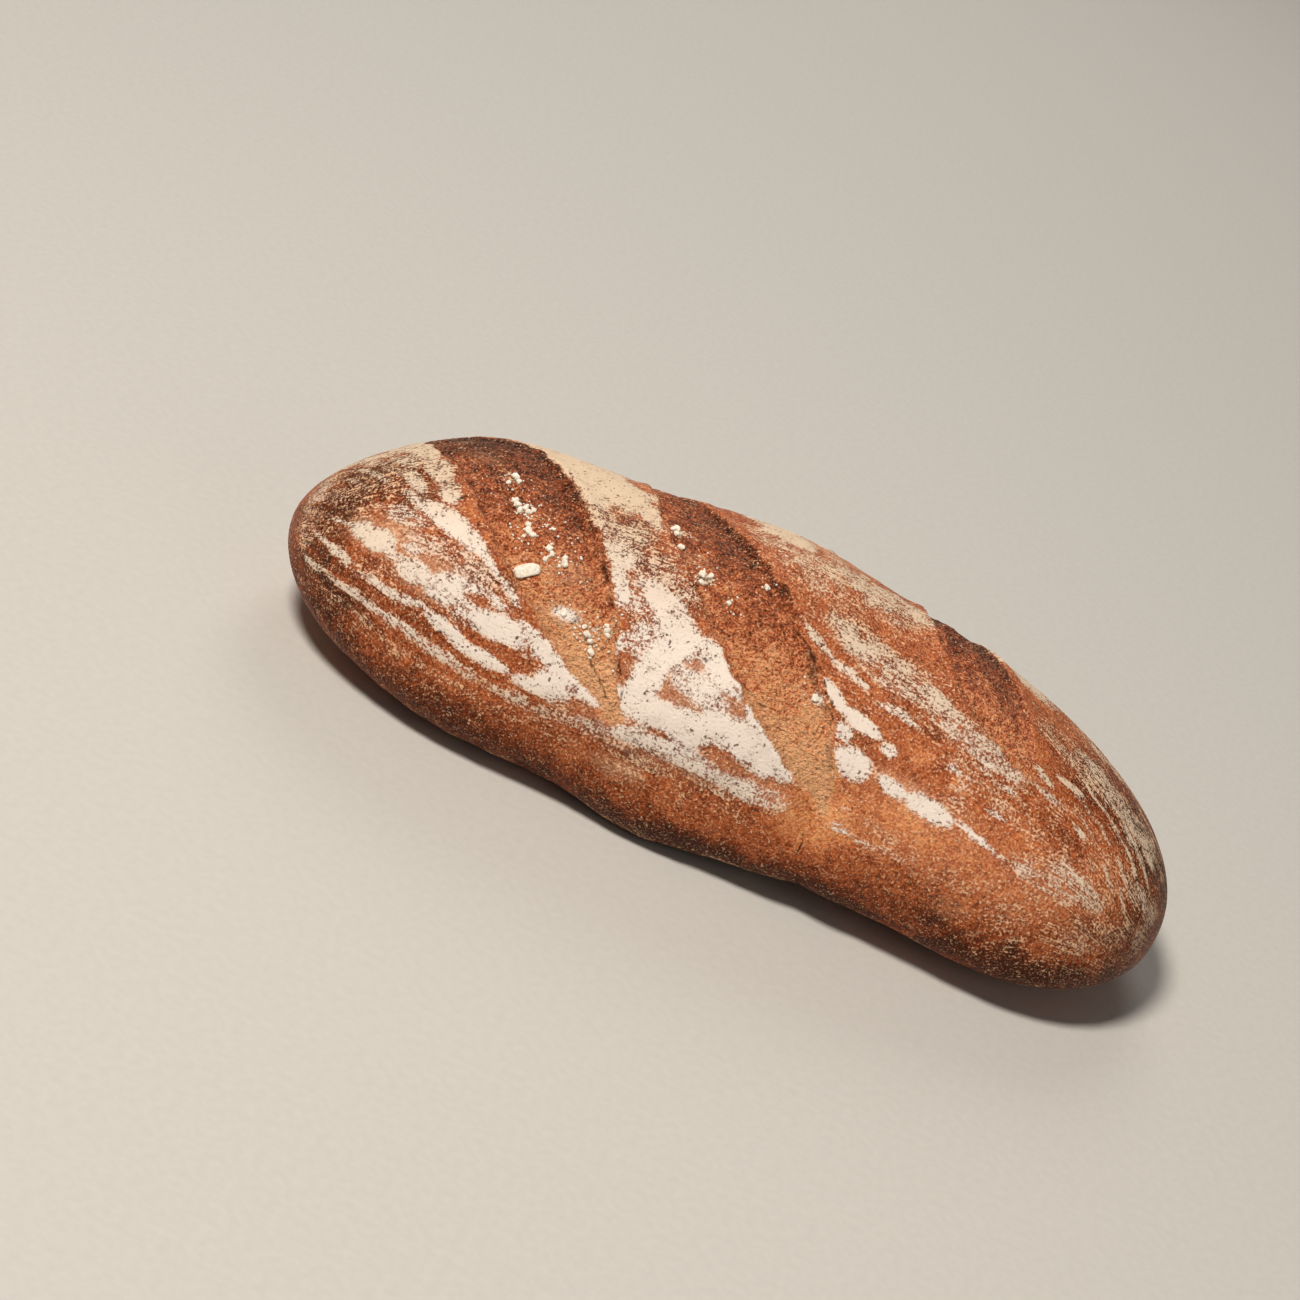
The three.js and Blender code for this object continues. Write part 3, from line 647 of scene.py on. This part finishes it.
    # Painted shade: near the crest, low on the side and at the ends the flour takes its warmer, darker
    # colour.
    flourColour = add(tree, "MixRGB", {
        0: fields["flourShade"], 1: linear(flourLook["cool"]), 2: linear(flourLook["flourInShade"]),
    })
    # A lone grain is thin enough for the crust to show through it.
    thin = add(tree, "Math", {0: fields["lone"], 1: flourLook["thinShare"]}, operation="MULTIPLY")
    flourColour = add(tree, "MixRGB", {0: thin, 1: flourColour, 2: linear(flourLook["thin"])})
    # Flour is uneven in thickness, so the crust dims it in soft clouds and at every grain.
    dimming = add(tree, "Math", {0: clots, 1: 0.55, 2: -0.1}, operation="MULTIPLY_ADD")
    dimming = add(tree, "Math", {0: specks, 1: -0.9, 2: dimming}, operation="MULTIPLY_ADD")
    dimming = add(tree, "MapRange", {
        "Value": dimming, "From Min": -0.3, "From Max": -0.55, "To Max": flourLook["dimming"],
    })
    bran = add(tree, "TexNoise", {"Vector": place, "Scale": perMetre(flourLook["branSize"]), "Detail": 1.0})
    bran = add(tree, "Math", {0: clots, 1: -0.5, 2: bran}, operation="MULTIPLY_ADD")
    bran = add(tree, "MapRange", {
        "Value": bran, "From Min": 0.42, "From Max": 0.48, "To Max": flourLook["branShare"],
    })
    flourColour = add(tree, "MixRGB", {0: dimming, 1: flourColour, 2: bare})
    flourColour = add(tree, "MixRGB", {0: bran, 1: flourColour, 2: linear(flourLook["bran"])})
    # Rubbed-in film and dust between the streaks are too thin to hide the crust.
    filmShare = add(tree, "Math", {0: chance, 1: -0.7, 2: 1.1}, operation="MULTIPLY_ADD")
    dust = add(tree, "MapRange", {
        "Value": cover, "From Min": 1.45, "From Max": 2.0, "To Max": flourLook["dust"],
    })
    dust = add(tree, "Math", {0: fields["film"], 1: dust}, operation="ADD")
    filmShare = add(tree, "Math", {0: filmShare, 1: dust}, operation="MULTIPLY", use_clamp=True)
    dusted = add(tree, "MixRGB", {0: filmShare, 1: bare, 2: flourColour})
    colour = add(tree, "MixRGB", {0: powder, 1: dusted, 2: flourColour})
    colour = add(tree, "MixRGB", {0: crack, 1: colour, 2: linear(crustLook["crackShadeTone"])})

    roughness = add(tree, "MapRange", {
        "Value": fields["slash"], "To Min": crustLook["roughness"], "To Max": crustLook["burstRoughness"],
    })
    roughness = add(tree, "MixRGB", {0: powder, 1: roughness, 2: (flourLook["roughness"],) * 3 + (1,)})

    # Bump finer than the mesh: the crust's fine wrinkles, the torn grain and the edges of the powder.
    # Crust and burst dough are both 0 on average, so no false step shows where they meet.
    # The grain's dark tone lies where its bump sinks, so it is also painted shade in the pits.
    heights = crustLook["heights"]
    crumb = add(tree, "TexNoise", {"Vector": place, "Scale": perMetre(crustLook["crumb"]), "Detail": 2.0})
    level = -(heights["coarse"] + heights["crumb"]) / 2
    burstHeight = add(tree, "Math", {0: coarse, 1: heights["coarse"], 2: level}, operation="MULTIPLY_ADD")
    burstHeight = add(tree, "Math", {
        0: crumb, 1: heights["crumb"], 2: burstHeight,
    }, operation="MULTIPLY_ADD")
    level = -heights["grain"] / 2
    crustHeight = add(tree, "Math", {0: grain, 1: heights["grain"], 2: level}, operation="MULTIPLY_ADD")
    height = add(tree, "MixRGB", {0: fields["slash"], 1: crustHeight, 2: burstHeight})
    buried = add(tree, "Math", {0: powder, 1: -0.7, 2: 1.0}, operation="MULTIPLY_ADD")
    height = add(tree, "Math", {0: height, 1: buried}, operation="MULTIPLY")
    for mask, rise in ((powder, heights["powder"]), (pores, heights["pores"]), (crack, heights["crack"])):
        height = add(tree, "Math", {0: mask, 1: rise, 2: height}, operation="MULTIPLY_ADD")
    bump = add(tree, "Bump", {"Height": height, "Strength": 1.0, "Distance": 1.0 * mm})
    shader = add(tree, "BsdfPrincipled", {
        "Base Color": colour, "Roughness": roughness, "Normal": bump, "IOR": 1.45,
        "Specular IOR Level": crustLook["gloss"],
    })
    add(tree, "OutputMaterial", {"Surface": shader}, output=None)
    return material


def gridPlaces():
    even = np.linspace(-1, 1, loaf["rings"] + 1)[1:-1]
    share = loaf["ringEvenness"]
    rings = loaf["length"] / 2 * (np.sin(even * math.pi / 2) * (1 - share) + even * share)
    turn = np.linspace(-1, 1, loaf["placesAround"], endpoint=False)
    crowded = turn - loaf["topCrowding"] * np.sin(turn * math.pi) / math.pi
    return rings, crowded * halfGirth


# Small blisters that steam raised, scattered over the top, the sides and the ends.
blisters = {
    "count": 120, "seed": 3, "radius": (0.9, 2.4), "rise": (0.2, 0.65),
    "along": (-150, 158), "around": (-0.6, 0.62),  # the second as a share of half the girth
}


def blistersAt(along, around):
    random = np.random.default_rng(blisters["seed"])
    total = np.zeros(len(along))
    for _ in range(blisters["count"]):
        x = random.uniform(*blisters["along"])
        y = random.uniform(*(halfGirth * share for share in blisters["around"]))
        radius = random.uniform(*blisters["radius"])
        total += random.uniform(*blisters["rise"]) * bell(np.hypot(along - x, around - y), radius)
    return total


# Relief too fine to place by hand: cell in mm, seed, octaves, rise.
fineRelief = {
    "torn": ((6, 37, 1, 0.5), (3, 31, 2, 0.5)),
    "pebbles": ((8, 41, 3, 0.28), (2.8, 51, 1, 0.12)),
}


def fineReliefAt(points, kind):
    return sum(rise * cloud(points / cell, seed, octaves) for cell, seed, octaves, rise in fineRelief[kind])


def evenOut(patterns):  # noise is 0.5 on average, so this keeps a tone where it was
    return -0.5 * sum(weight for *_, weight in patterns.values())


def fieldsAt(along, around):
    smooth = skinAt(along, around, swellAt(along, around))
    relief, inside, burst, tearShade = slashesAt(along, around, smooth)
    relief = relief + swellAt(along, around) + creaseAt(along, around)
    straying = cloud(smooth / flourLay["strayingSize"], 21, 3) * flourLay["straying"]
    strokes = [stroke for group in flour.values() for stroke in group]
    cover = strokesAt(strokes, along, around, straying, np.maximum)
    start, end = flourLay["scantLow"]
    scant = ease(around, *start) * (1 - ease(around, *end))
    clinging = flourLay["everywhere"] + flourLay["clusters"] * cloud(smooth / flourLay["clusterSize"], 5, 2)
    cover = np.maximum(cover, clinging) * (1 - flourLay["scantShare"] * scant)
    cover *= 1 - strokesAt(bare, along, around, straying, np.maximum)
    # Thin flour counts a little less than it was placed, and heaps are levelled.
    cover *= 0.9 + 0.1 * ease(cover, 0.8, 1.2)
    full = flourLay["heapedFrom"]
    cover = np.minimum(cover, full) + flourLay["heaped"] * np.maximum(cover - full, 0)
    lodged = strokesAt(caught, along, around, straying, np.maximum)
    cover = cover * (1 - inside) + np.maximum(flourLay["onBurst"] * burst, lodged) * inside
    filmed = strokesAt(film, along, around, straying, np.maximum) * (1 - inside)
    filmed += strokesAt(burstFilm, along, around, straying, np.maximum) * inside
    wander = [cloud(smooth / crackWander["size"], seed, 2) for seed in (61, 71)]
    brown = strokesAt(browningAndShade, along, around, straying, np.add) + crustLook["usualTone"]
    brown += evenOut(crustLook["patterns"])
    pebbled = fineReliefAt(smooth, "pebbles") + blistersAt(along, around)
    relief = relief + inside * fineReliefAt(smooth, "torn") + (1 - inside) * pebbled
    relief = relief + flourLay["rise"] * np.clip(cover, 0, 1.2)
    # Flour is drawn out into streaks where hands rounded the ends. The noise that draws them is
    # 0.5 on average, so the cover is lowered by as much as a stronger one would add.
    toEnd = ease(np.abs(along) / loaf["length"] * 2, *flourLay["endsFrom"])
    toEnd = toEnd * np.where(along < 0, flourLay["leftEndShare"], 1)
    usual, extra = flourLay["streaky"]
    streaky = usual + extra * toEnd
    lone = 1 - ease(cover, *flourLay["loneBelow"])
    cover -= (streaky - usual) / 2
    # Painted shade: where the flour takes its warmer, darker colour.
    atCrest = 1 - ease(np.abs(around), *flourLay["flourShadeByCrest"])
    flourShade = np.maximum(atCrest, np.maximum(toEnd, ease(around, *flourLay["flourShadeLow"])))
    return skinAt(along, around, relief), {
        "flour": cover,
        "film": filmed,
        "flourShade": flourShade,
        "streaky": streaky,
        "lone": lone,
        "browningAndShade": brown,
        "slash": inside,
        "burst": burst + evenOut(crustLook["burstPatterns"]),
        "tearShade": tearShade,
        "crack": crackAt(along, around, wander),
    }


# The solid's middle is its origin, so the skin's is brought there too, and kept inside its box.
def fitOf(points):
    low = points.min(axis=0)
    high = points.max(axis=0)
    middle = np.array([(low[0] + high[0]) / 2, (low[1] + high[1]) / 2, 0])
    size = np.array([high[0] - low[0], high[1] - low[1], high[2]])
    room = np.array([boxHigh[i] - boxLow[i] for i in range(3)]) / mm
    return middle, np.minimum(room / size, 1)


def makeLoaf():
    rings, places = gridPlaces()
    along, around = (grid.ravel() for grid in np.meshgrid(rings, places, indexing="ij"))
    half = loaf["length"] / 2
    along = np.concatenate([along, [-half, half]])
    around = np.concatenate([around, [0, 0]])
    points, fields = fieldsAt(along, around)
    middle, scale = fitOf(points)
    points = (points - middle) * scale * mm
    count = len(places)
    faces = []
    last = (len(rings) - 1) * count
    leftTip = len(points) - 2
    for j in range(count):
        k = (j + 1) % count
        faces.append((leftTip, k, j))
        faces.append((leftTip + 1, last + j, last + k))
    for i in range(len(rings) - 1):
        row = i * count
        for j in range(count):
            k = (j + 1) % count
            faces.append((row + j, row + k, row + count + k, row + count + j))
    mesh = bpy.data.meshes.new("loafSkin")
    mesh.from_pydata(points.tolist(), [], faces)
    mesh.polygons.foreach_set("use_smooth", np.ones(len(faces), dtype=bool))
    for name, values in fields.items():
        layer = mesh.attributes.new(name, "FLOAT", "POINT")
        layer.data.foreach_set("value", values.astype(np.float32))
    reach = np.abs(along) / half
    bend = flourLay["streakBend"] * reach**6
    crowding = 1 + flourLay["streakCrowding"] * ease(reach, 0.5, 0.9)
    across = (around - flourLay["streakSlant"] * along - bend) * crowding
    streak = np.stack([along, across, np.zeros(len(along))], axis=1)
    layer = mesh.attributes.new("streakPlace", "FLOAT_VECTOR", "POINT")
    layer.data.foreach_set("vector", streak.astype(np.float32).ravel())
    mesh.update()
    piece = newObject("loafSkin", mesh)
    piece.data.materials.append(flouredCrust())
    return piece, middle, scale


print("loaf skin")
skin, skinMiddle, skinScale = makeLoaf()
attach(skin, "root")
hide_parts("loaf")


# Clots of flour that caught in the slashes: along, around, length, width, height.
clots = [
    (-99, 13, 2.6, 2.2, 1.6), (-97, 15, 2.2, 1.8, 1.4), (-100, 16.5, 1.6, 1.4, 1), (-95, 24, 2.4, 2, 1.6),
    (-93.5, 26, 2.6, 2, 1.8), (-92, 28, 2.2, 1.8, 1.6), (-90.5, 26.5, 2.4, 2, 1.8),
    (-89, 27.6, 2, 1.6, 1.4), (-88, 25.5, 1.8, 1.6, 1.2), (-87, 33, 2.2, 1.8, 1.4),
    (-86, 35.4, 3, 2.2, 1.7), (-84, 37, 2.2, 1.8, 1.4), (-86.5, 38.6, 1.5, 1.2, 1),
    (-79, 31.5, 1.7, 1.2, 1), (-77, 40, 2.4, 2, 1.7), (-75.4, 41.4, 2, 1.5, 1.4),
    (-76.5, 44.5, 1.8, 1.5, 1.2), (-71, 41.6, 2.2, 1.8, 1.5), (-70, 43.6, 2.6, 2, 1.8),
    (-71.4, 45.2, 1.4, 1.2, 1), (-63, 60.5, 3, 2, 1), (-55, 62, 1.6, 1.4, 1.2), (-53, 64, 2.2, 1.8, 1.6),
    (-51.4, 65.6, 2.4, 1.8, 1.7), (-50.4, 67.6, 1.7, 1.4, 1.2), (-49.4, 69.2, 2.4, 1.8, 1.6),
    (-48, 60, 2.6, 2, 1.6), (-47, 61.6, 2, 1.6, 1.4), (-48.6, 58.4, 1.6, 1.4, 1), (-43, 8, 3, 2.4, 1.7),
    (-42, 10.6, 2.4, 2, 1.6), (-38.6, 16.6, 2.6, 2, 1.3), (-28, 27, 2.8, 2.2, 1.7),
    (-25.4, 26.6, 2.6, 2, 1.7), (-27, 29.6, 2.2, 1.8, 1.4), (-16, 34, 1.9, 1.6, 1.3),
    (-7, 22, 2, 1.6, 1.3), (23, 51, 3, 2.4, 1.2),
]
slab = {"at": (-80.5, 51.5), "size": (8, 4.2, 1.9), "turn": 38}  # the largest, flat and aslant
clotLook = {
    "lumpiness": 0.36, "lumpSize": 0.5, "boxiness": 0.7, "sunk": 0.28, "seed": 5,
    "tones": [(0.3, "#e2d4bd"), (0.6, "#f8f2e6")], "crease": 0.9, "roughness": 0.95,
}
crumbs = {"count": 240, "size": (0.3, 0.95), "shape": (1.2, 1, 0.8), "spread": 3.4, "seed": 9}


def looseFlour():
    # Wheat flour pressed into clots: chalk-matt and almost white, creased where it cracked.
    material, tree, place = newMaterial("wheatFlour")
    creases = add(tree, "TexNoise", {"Vector": place, "Scale": perMetre(clotLook["crease"]), "Detail": 4.0})
    colour = add(tree, "ValToRGB", {0: creases}, stops=clotLook["tones"])
    bump = add(tree, "Bump", {"Height": creases, "Strength": 0.8, "Distance": 0.4 * mm})
    shader = add(tree, "BsdfPrincipled", {
        "Base Color": colour, "Roughness": clotLook["roughness"], "Normal": bump, "IOR": 1.4,
    })
    add(tree, "OutputMaterial", {"Surface": shader}, output=None)
    return material


# Small lumps on the skin, as one mesh: along, around, length, width, height and turn of each.
def lumpsOnSkin(name, rows, subdivisions, seed):
    ball = bmesh.new()
    bmesh.ops.create_icosphere(ball, subdivisions=subdivisions, radius=0.5)
    unit = np.array([corner.co[:] for corner in ball.verts])
    triangles = np.array([[corner.index for corner in face.verts] for face in ball.faces])
    ball.free()
    unit = np.sign(unit) * np.abs(2 * unit) ** clotLook["boxiness"] / 2
    rows = np.array(rows, float)
    step = 0.8  # mm to the two places beside each lump that show how the skin lies there
    along = np.concatenate([rows[:, 0], rows[:, 0] + step, rows[:, 0]])
    around = np.concatenate([rows[:, 1], rows[:, 1], rows[:, 1] + step])
    onSkin = (fieldsAt(along, around)[0] - skinMiddle) * skinScale
    here, ahead, aside = onSkin.reshape(3, len(rows), 3)
    corners = []
    faces = []
    for i, (*_, length, width, height, turn) in enumerate(rows):
        x = (ahead[i] - here[i]) / np.linalg.norm(ahead[i] - here[i])
        outward = np.cross(aside[i] - here[i], x)
        outward /= np.linalg.norm(outward)
        y = np.cross(outward, x)
        lumps = cloud(unit / clotLook["lumpSize"] + 5 * i, seed, 2)[:, None]
        form = unit * (1 + clotLook["lumpiness"] * lumps)
        form = form * (length, width, height)
        u = form[:, 0] * math.cos(turn) - form[:, 1] * math.sin(turn)
        v = form[:, 0] * math.sin(turn) + form[:, 1] * math.cos(turn)
        w = form[:, 2] + height * (0.5 - clotLook["sunk"])
        faces.append(triangles + len(unit) * i)
        corners.append(here[i] + u[:, None] * x + v[:, None] * y + w[:, None] * outward)
    mesh = bpy.data.meshes.new(name)
    mesh.from_pydata((np.concatenate(corners) * mm).tolist(), [], np.concatenate(faces).tolist())
    mesh.polygons.foreach_set("use_smooth", np.ones(len(mesh.polygons), dtype=bool))
    return newObject(name, mesh)


def makeCrumbs():
    random = np.random.default_rng(crumbs["seed"])
    rows = []
    for _ in range(crumbs["count"]):
        near = clots[random.integers(len(clots))]
        size = random.uniform(*crumbs["size"])
        along = near[0] + random.normal(0, crumbs["spread"])
        around = near[1] + random.normal(0, crumbs["spread"])
        form = [size * share for share in crumbs["shape"]]
        rows.append((along, around, *form, random.uniform(0, math.pi)))
    return lumpsOnSkin("flourCrumbs", rows, 1, crumbs["seed"])


def makeClots():
    random = np.random.default_rng(clotLook["seed"])
    rows = [(*clot, random.uniform(0, math.pi)) for clot in clots]
    rows.append((*slab["at"], *slab["size"], math.radians(slab["turn"])))
    return lumpsOnSkin("flourClots", rows, 3, clotLook["seed"])


print("clots and crumbs of flour")
driedFlour = looseFlour()
for piece in (makeClots(), makeCrumbs()):
    piece.data.materials.append(driedFlour)
    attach(piece, "root")


studio = {
    "floorSize": 24,
    "photoSize": 1300,
    "lens": 88,
    "sensor": 36,
    "elevation": 27,
    "roll": 25.7,  # in the photo the loaf leans, while here it lies level
    "lookAt": (0, 0, 35),
    "lookAtPixel": (739.8, 692.7),
    "mmPerPixel": 0.345,
    "lights": {  # place in metres, width, watts, colour
        "keyLight": ((-0.72, -0.74, 1.9), 0.5, 46, "#fff6ea"),
        "fillLight": ((1.6, -1.4, 1.0), 1.4, 4, "#fff5ec"),
        "rimLight": ((-0.2, 1.6, 1.3), 1.0, 10, "#fffaf2"),
    },
    "air": ("#e6e2dc", 0.13),
    "floorTones": [(0.3, "#c4c2be"), (0.7, "#c9c7c3")],
    "stipple": 3,
}


def paintedFloor():
    # A sheet of matt painted board: plain and pale, with a faint roller stipple.
    material, tree, place = newMaterial("mattPaintedBoard")
    stipple = add(tree, "TexNoise", {"Vector": place, "Scale": perMetre(studio["stipple"]), "Detail": 3.0})
    colour = add(tree, "ValToRGB", {0: stipple}, stops=studio["floorTones"])
    bump = add(tree, "Bump", {"Height": stipple, "Strength": 0.1, "Distance": 0.3 * mm})
    shader = add(tree, "BsdfPrincipled", {"Base Color": colour, "Roughness": 0.8, "Normal": bump})
    add(tree, "OutputMaterial", {"Surface": shader}, output=None)
    return material


def makeFloor():
    mesh = bpy.data.meshes.new("floor")
    s = studio["floorSize"] / 2
    mesh.from_pydata([(-s, -s, 0), (s, -s, 0), (s, s, 0), (-s, s, 0)], [], [(0, 1, 2, 3)])
    floor = newObject("floor", mesh)
    floor.data.materials.append(paintedFloor())
    return floor


def placeCamera():
    e = math.radians(studio["elevation"])
    r = math.radians(studio["roll"])
    back = Vector((0, -math.cos(e), math.sin(e)))
    right = Vector((1, 0, 0))
    up = back.cross(right)
    pictureRight = right * math.cos(r) + up * math.sin(r)
    pictureUp = up * math.cos(r) - right * math.sin(r)
    look = Vector(studio["lookAt"]) * mm
    perPixel = studio["mmPerPixel"] * mm
    distance = perPixel * studio["photoSize"] * studio["lens"] / studio["sensor"]
    middle = studio["photoSize"] / 2
    aim = look - pictureRight * (studio["lookAtPixel"][0] - middle) * perPixel
    aim += pictureUp * (studio["lookAtPixel"][1] - middle) * perPixel
    data = bpy.data.cameras.new("camera")
    data.lens = studio["lens"]
    data.sensor_width = studio["sensor"]
    camera = newObject("camera", data)
    camera.location = look + back * distance
    zAxis = (camera.location - aim).normalized()
    xAxis = pictureUp.cross(zAxis).normalized()
    yAxis = zAxis.cross(xAxis)
    turn = Matrix((xAxis, yAxis, zAxis)).transposed()
    camera.rotation_mode = "QUATERNION"
    camera.rotation_quaternion = turn.to_quaternion()
    bpy.context.scene.camera = camera


def softbox(name, place, size, power, colour):
    data = bpy.data.lights.new(name, "AREA")
    data.shape = "DISK"
    data.size = size
    data.energy = power
    data.color = linear(colour)[:3]
    lamp = newObject(name, data)
    lamp.location = place
    lamp.rotation_mode = "QUATERNION"
    lamp.rotation_quaternion = Vector(place).to_track_quat("Z", "Y")


print("floor, lights and camera")
makeFloor()
for name, settings in studio["lights"].items():
    softbox(name, *settings)
world = bpy.data.worlds.new("studio")
world.use_nodes = True
background = world.node_tree.nodes["Background"].inputs
background["Color"].default_value = linear(studio["air"][0])
background["Strength"].default_value = studio["air"][1]
bpy.context.scene.world = world
bpy.context.scene.view_settings.view_transform = "Standard"
placeCamera()
